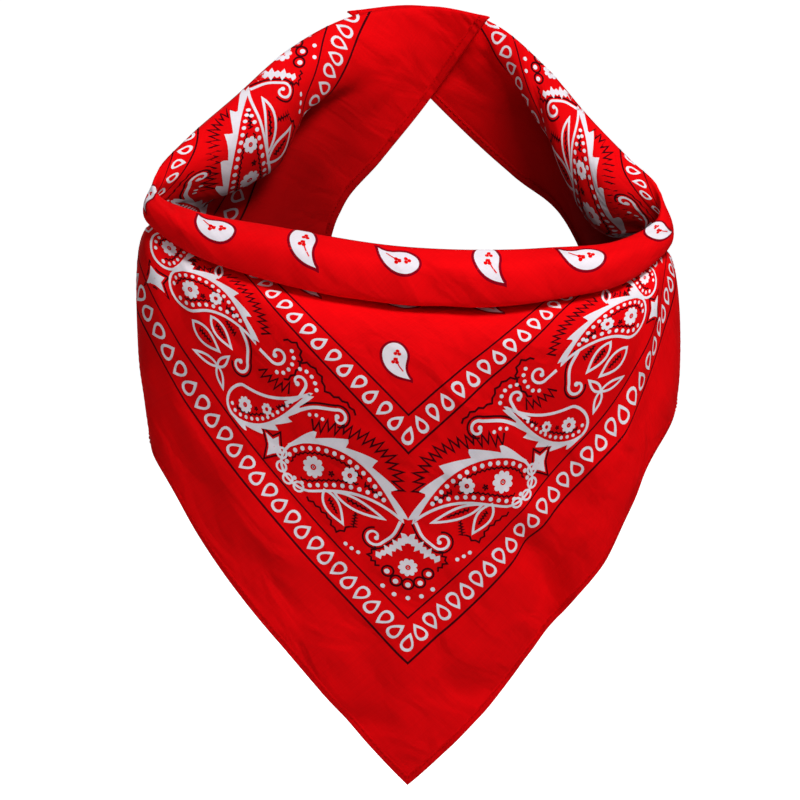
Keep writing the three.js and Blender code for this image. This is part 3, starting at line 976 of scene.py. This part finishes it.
def lay_print(name, marks, cloth):
    """Lay flat marks on the worn cloth: every net's points go to the cloth's face, and a face
    that would look inward is turned. One mesh for each colour of the print."""
    for colour in sorted({mark[0] for mark in marks}):
        nets = [mark[1:] for mark in marks if mark[0] == colour]
        flat, faces, start = [], [], 0
        for net, closed in nets:
            rows, columns = net.shape[:2]
            faces.append(net_faces(rows, columns, closed, start))
            flat.append(net.reshape(-1, 2))
            start += rows * columns
        flat, faces = np.concatenate(flat), np.concatenate(faces)
        s = (flat[:, 0] - flat[:, 1]) / ROOT2
        t = cloth.half_diagonal - (flat[:, 0] + flat[:, 1]) / ROOT2
        points = cloth.at(s, t, PROUD[colour])
        under = cloth.at(s, t, 0.0)
        first = points[faces[:, 2]] - points[faces[:, 0]]
        second = points[faces[:, 3]] - points[faces[:, 1]]
        out = (points - under)[faces].mean(axis=1)
        wrong = (np.cross(first, second) * out).sum(-1) < 0
        faces[wrong] = faces[wrong][:, ::-1]
        piece = mesh_piece(f"{name}_{colour}", points, faces, WORK[colour], flat / cloth.side)
        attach(piece, "root")
        WORK.setdefault("on_cloth", []).append(piece)


class BANDANA_OT_frames(bpy.types.Operator):
    """Print the two square frames: rows of hollow drops between dark lines"""

    bl_idname = "bandana.frames"
    bl_label = "Frames of drops"

    def execute(self, context):
        sizes = context.scene.bandana_print
        cloth = WORK["cloth"]
        side = cloth.side
        marks = []
        rows = ((sizes.outer_line, sizes.outer_band, sizes.outer_drop, 0.6),
                (sizes.inner_line, sizes.inner_band, sizes.inner_drop, 0.48))
        for start, wide, drop, stroke in rows:
            for inset, half_width in ((start, stroke), (start + wide, 0.45)):
                run = np.linspace(inset, side - inset, 200)[:-1]
                edge = [("ink", np.stack([run, np.full_like(run, inset)], -1), False)]
                square = [copy[1] for copy in corner_copies(edge, side)]
                marks.append(line("ink", np.concatenate(square), half_width, True))
            centre = start + wide * 0.47
            count = int(round((side - 2 * centre) / sizes.drop_pitch))
            for k in range(count):
                p = centre + (side - 2 * centre) * k / count
                way = (0.16, 1.0) if k % 2 else (-0.16, -1.0)
                if k == 0:
                    way = (1.0, 0.55)
                shape = hollow_drop("white", np.array((p, centre)), drop, drop * 0.74, way,
                                    sizes.stroke)
                marks += list(corner_copies([shape], side))
        lay_print("frames", marks, cloth)
        return {"FINISHED"}


class BANDANA_OT_field(bpy.types.Operator):
    """Scatter single paisleys over the plain centre, lying and standing by turns"""

    bl_idname = "bandana.field"
    bl_label = "Centre paisleys"

    def execute(self, context):
        sizes = context.scene.bandana_print
        cloth = WORK["cloth"]
        reach = cloth.half_diagonal - (sizes.inner_line + sizes.inner_band) * ROOT2 - 14.0
        pitch = sizes.field_pitch
        marks = []
        for i in range(-4, 5):
            for j in range(-4, 5):
                # The row in the tuck lies a little lower, so that the roll hides it whole.
                s, t = i * pitch - 5.0, j * pitch + (16.5 if j == 1 else 10.0)
                if abs(s) + abs(t) < reach:
                    marks += field_paisley((s, t), (i + j) % 2 == 0)
        flat = []
        for colour, net, closed in marks:
            down = cloth.half_diagonal - net[..., 1]
            places = np.stack([down + net[..., 0], down - net[..., 0]], -1) / ROOT2
            flat.append((colour, places, closed))
        lay_print("field", flat, cloth)
        return {"FINISHED"}


class BANDANA_OT_border(bpy.types.Operator):
    """Print the border: paisleys, zigzags, scrolls, leaves and flowers between the frames"""

    bl_idname = "bandana.border"
    bl_label = "Border"

    def execute(self, context):
        cloth = WORK["cloth"]
        marks = []
        # Places are (run from the corner, inward from the edge), in millimetres.
        marks += large_paisley((171, 77), (158, 114), (113, 109), 12.6, 1.0, 5, 1.2)
        marks += large_paisley((216, 80), (195, 84), (188, 118), 8.8, -1.0, 6, 0.95,
                               False)
        marks += large_paisley((266, 85), (263, 116), (223, 112), 11.0, 1.0, 5, 1.1)
        marks.append(zigzag("ink", ((124.5, 117), (129, 122), (138, 126), (148, 126), (160, 122),
                                    (171, 114), (178, 106)), 4.0, 2.7, 0.55))
        marks.append(zigzag("ink", ((221, 120), (232, 125.5), (249, 127), (263, 124), (271, 116)),
                            3.4, 2.2, 0.5))
        marks.append(zigzag("ink", ((195, 112), (202, 107), (213, 105)), 3.6, 2.5, 0.5))
        marks += scroll("white", ((113.5, 108), (111, 100), (111.5, 92.5)), (116.8, 91.5), 1.0,
                        0.85, 1.0, 2.2)
        marks += scroll("white", ((187, 106), (183, 114), (174.6, 122.6)), (170.6, 121.0), 0.9,
                        0.85, 1.0, 2.1)
        marks += scroll("white", ((193, 104), (190.5, 112), (191.5, 118)), (195.6, 117.6), 0.75,
                        0.85, -1.0)
        marks += scroll("white", ((219, 112), (212, 113.2)), (211.3, 118.4), 0.95, 0.85, -1.0)
        marks += scroll("white", ((233, 110), (224, 106.5), (218.8, 100.5)), (221, 96.2), 0.85,
                        0.85, 1.0, 2.1)
        marks += dots("white", through(((186, 121), (190, 124), (196, 125), (201, 122)), 12),
                      3.6, 1.05)
        marks += dots("white", through(((182.5, 109), (179, 113), (174, 114.5)), 12), 3.3, 0.95)
        marks += dots("white", through(((207, 110.5), (203.5, 114), (203, 119), (205, 124),
                                        (210, 127)), 16), 3.5, 1.05)
        marks.append(zigzag("ink", ((165, 129), (175, 129), (184, 125.5), (190, 128.5),
                                    (197, 129), (204, 124)), 4.6, 0.5, 0.5, 0.0))
        marks.append(zigzag("ink", ((201, 111), (199.5, 119), (202.5, 127), (210, 131),
                                    (216, 126)), 4.4, 0.5, 0.5, 0.0))
        marks += leaf("white", (151, 88.5), (132, 83), 4.4)
        marks += leaf("white", (147, 92), (120, 102.5), 3.2)
        marks += leaf("white", (250, 87.5), (232, 90), 4.4)
        marks += leaf("white", (246, 99), (229, 97.5), 3.6)
        for tip in ((219.5, 78), (240.5, 77), (227, 93)):
            marks += leaf("white", (228, 83.5), tip, 1.9, 0.6, False)
        marks += star("white", np.array((183, 82.5)), BIRD, 1.3)
        for place in ((160.5, 77.8), (167, 76), (173.6, 78), (178.2, 83.6)):
            marks.append(ring("white", np.array(place), 2.7, 0.62, 12))
        for place in ((115.4, 78), (119.2, 76.8), (123, 76)):
            marks.append(dot("white", np.array(place), 1.15))
        marks.append(zigzag("ink", ((129, 86), (130, 77.5), (140, 79), (155, 77)), 4.4, 0.6,
                            0.5, 0.0))
        marks += sprig("ink", np.array((127, 86)), np.array((132, 93)), 1.8)
        marks += sprig("ink", np.array((232, 104.5)), np.array((240, 105)), 1.3)
        marks += sprig("ink", np.array((269, 106)), np.array((273, 112)), 1.6)
        marks += leaf("white", (262, 118), (272, 125), 2.2, 0.6)
        lay_print("border", list(side_copies(marks, cloth.side)), cloth)
        return {"FINISHED"}


class BANDANA_OT_corners(bpy.types.Operator):
    """Print the corner ornaments: a flower in scalloped rings under a serrated chevron"""

    bl_idname = "bandana.corners"
    bl_label = "Corner ornaments"

    def execute(self, context):
        cloth = WORK["cloth"]
        centre = np.array((92.5, 92.5))
        marks = flower(centre, 5.3, 9, "crimson")
        for k in range(-2, 3):
            turn = np.radians(225 + k * 37)
            way = np.array((np.cos(turn), np.sin(turn)))
            marks.append(ring("ink", centre + way * (9.8 + 0.65 * abs(k)), 3.1, 0.52, 16))
            marks.append(dot("white", centre + way * (10.3 + 0.65 * abs(k)), 1.5))
            turn = np.radians(225 + k * 24)
            way = np.array((np.cos(turn), np.sin(turn)))
            marks.append(dot("white", centre + way * 18.0, 1.3))
        arm = through(((84, 108), (93, 106), (105, 105)), 15)
        spikes = np.array((0.3, 2.6, 0.9, 1.8, 0.9, 3.9, 1.2, 2.4, 1.1, 4.1, 1.3, 2.6, 1.4, 4.0, 2.0))
        for path in (arm, arm[:, ::-1]):
            marks.append(line("white", path, spikes))
        for path in (((81, 102), (81.5, 110.5), (89, 112)), ((102, 81), (110.5, 81.5), (112, 89))):
            marks.append(zigzag("ink", path, 3.4, 0.8, 0.48, 0.0))
        lay_print("corners", list(corner_copies(marks, cloth.side)), cloth)
        middle_place = np.array((cloth.side / 2, 79.0))
        birds = star("white", middle_place, BIRD, 1.3)
        path = ((cloth.side / 2 - 7, 118), (cloth.side / 2, 108), (cloth.side / 2 + 7, 118))
        birds.append(zigzag("ink", path, 3.2, 1.8, 0.45))
        lay_print("middles", list(corner_copies(birds, cloth.side)), cloth)
        return {"FINISHED"}


class BANDANA_OT_stage(bpy.types.Operator):
    """Set the pale floor and backdrop, the soft lights and the camera"""

    bl_idname = "bandana.stage"
    bl_label = "Stage"

    def execute(self, context):
        sizes = context.scene.bandana_stage
        material = bpy.data.materials.new("pale_floor")
        material.use_nodes = True
        shader = material.node_tree.nodes["Principled BSDF"]
        shader.inputs["Base Color"].default_value = (*sizes.pale, 1.0)
        shader.inputs["Roughness"].default_value = 0.9
        # The floor is evenly pale to the eye and sends little light back, as lit on its own.
        shader.inputs["Emission Color"].default_value = (0.9, 0.9, 0.9, 1.0)
        seen = material.node_tree.nodes.new("ShaderNodeLightPath")
        material.node_tree.links.new(seen.outputs["Is Camera Ray"],
                                     shader.inputs["Emission Strength"])
        # A floor that rises behind in one round sweep: a profile carried along X.
        turn = np.linspace(0.0, np.pi / 2, 13)
        y = np.concatenate([[-12.0, 0.0], 3.6 + 1.6 * np.sin(turn), [5.2]])
        z = np.concatenate([[0.0, 0.0], 1.6 * (1 - np.cos(turn)), [7.0]]) - sizes.drop
        x = np.array([-12.0, 12.0])
        points = np.stack([np.broadcast_to(x[:, None], (2, len(y))),
                           np.broadcast_to(y, (2, len(y))),
                           np.broadcast_to(z, (2, len(y)))], -1).reshape(-1, 3) * 1000.0
        floor = mesh_piece("floor_sweep", points, net_faces(2, len(y)), material)
        world = bpy.data.worlds.new("even_light")
        world.use_nodes = True
        world.node_tree.nodes["Background"].inputs["Color"].default_value = (1, 1, 1, 1)
        world.node_tree.nodes["Background"].inputs["Strength"].default_value = sizes.around
        context.scene.world = world
        # Each light: its place, its power, its size, and the place that it points at.
        lights = (
            ("key", (0.45, -0.8, 1.0), sizes.key, 0.4, (0.0, -0.12, -0.18)),
            ("fill", (-0.5, -2.8, 0.1), sizes.fill, 1.6, (0.0, -0.09, -0.25)),
            ("back", (-0.6, 1.9, 0.5), sizes.behind, 1.2, (0.0, -0.06, -0.16)),
        )
        for name, place, power, size, target in lights:
            data = bpy.data.lights.new(name, "AREA")
            data.energy = power
            data.size = size
            light = bpy.data.objects.new(name, data)
            light.location = place
            way = Vector(target) - Vector(place)
            light.rotation_euler = way.to_track_quat("-Z", "Y").to_euler()
            context.scene.collection.objects.link(light)
        context.scene.view_settings.view_transform = "Standard"
        tilt = np.radians(16.0)
        reach = 2.4
        data = bpy.data.cameras.new("camera")
        data.lens = 199.6
        data.sensor_width = 36.0
        data.clip_end = 50.0
        camera = bpy.data.objects.new("camera", data)
        up = (0.0, float(np.sin(tilt)), float(np.cos(tilt)))
        centre = Vector((-0.0043, -0.08, -0.2)) - Vector(up) * 0.0011
        camera.location = centre + Vector((0.0, -np.cos(tilt) * reach, np.sin(tilt) * reach))
        camera.rotation_euler = (np.pi / 2 - tilt, 0.0, 0.0)
        context.scene.collection.objects.link(camera)
        context.scene.camera = camera
        return {"FINISHED"}


class BANDANA_PT_panel(bpy.types.Panel):
    """The bandana's sizes and the steps that build it"""

    bl_label = "Bandana"
    bl_idname = "BANDANA_PT_panel"
    bl_space_type = "VIEW_3D"
    bl_region_type = "UI"
    bl_category = "Bandana"

    def draw(self, context):
        scene = context.scene
        for group in (scene.bandana_cloth, scene.bandana_print, scene.bandana_stage):
            for name in group.__annotations__:
                self.layout.prop(group, name)
        for step in STEPS:
            self.layout.operator(step.bl_idname)


STEPS = (BANDANA_OT_cloth, BANDANA_OT_hem, BANDANA_OT_stitches, BANDANA_OT_frames,
         BANDANA_OT_field, BANDANA_OT_border, BANDANA_OT_corners, BANDANA_OT_stage)
CLASSES = (BandanaClothSizes, BandanaPrintSizes, BandanaStageSizes, *STEPS, BANDANA_PT_panel)


def register():
    """Register the classes, and hang the sizes on the scene."""
    for item in CLASSES:
        bpy.utils.register_class(item)
    bpy.types.Scene.bandana_cloth = PointerProperty(type=BandanaClothSizes)
    bpy.types.Scene.bandana_print = PointerProperty(type=BandanaPrintSizes)
    bpy.types.Scene.bandana_stage = PointerProperty(type=BandanaStageSizes)


def unregister():
    """Take the sizes and the classes away again."""
    del bpy.types.Scene.bandana_stage
    del bpy.types.Scene.bandana_print
    del bpy.types.Scene.bandana_cloth
    for item in reversed(CLASSES):
        bpy.utils.unregister_class(item)


def main():
    register()
    bpy.ops.bandana.cloth()
    bpy.ops.bandana.hem()
    bpy.ops.bandana.stitches()
    bpy.ops.bandana.frames()
    bpy.ops.bandana.field()
    bpy.ops.bandana.border()
    bpy.ops.bandana.corners()
    bpy.ops.bandana.stage()


if __name__ == "__main__":
    main()
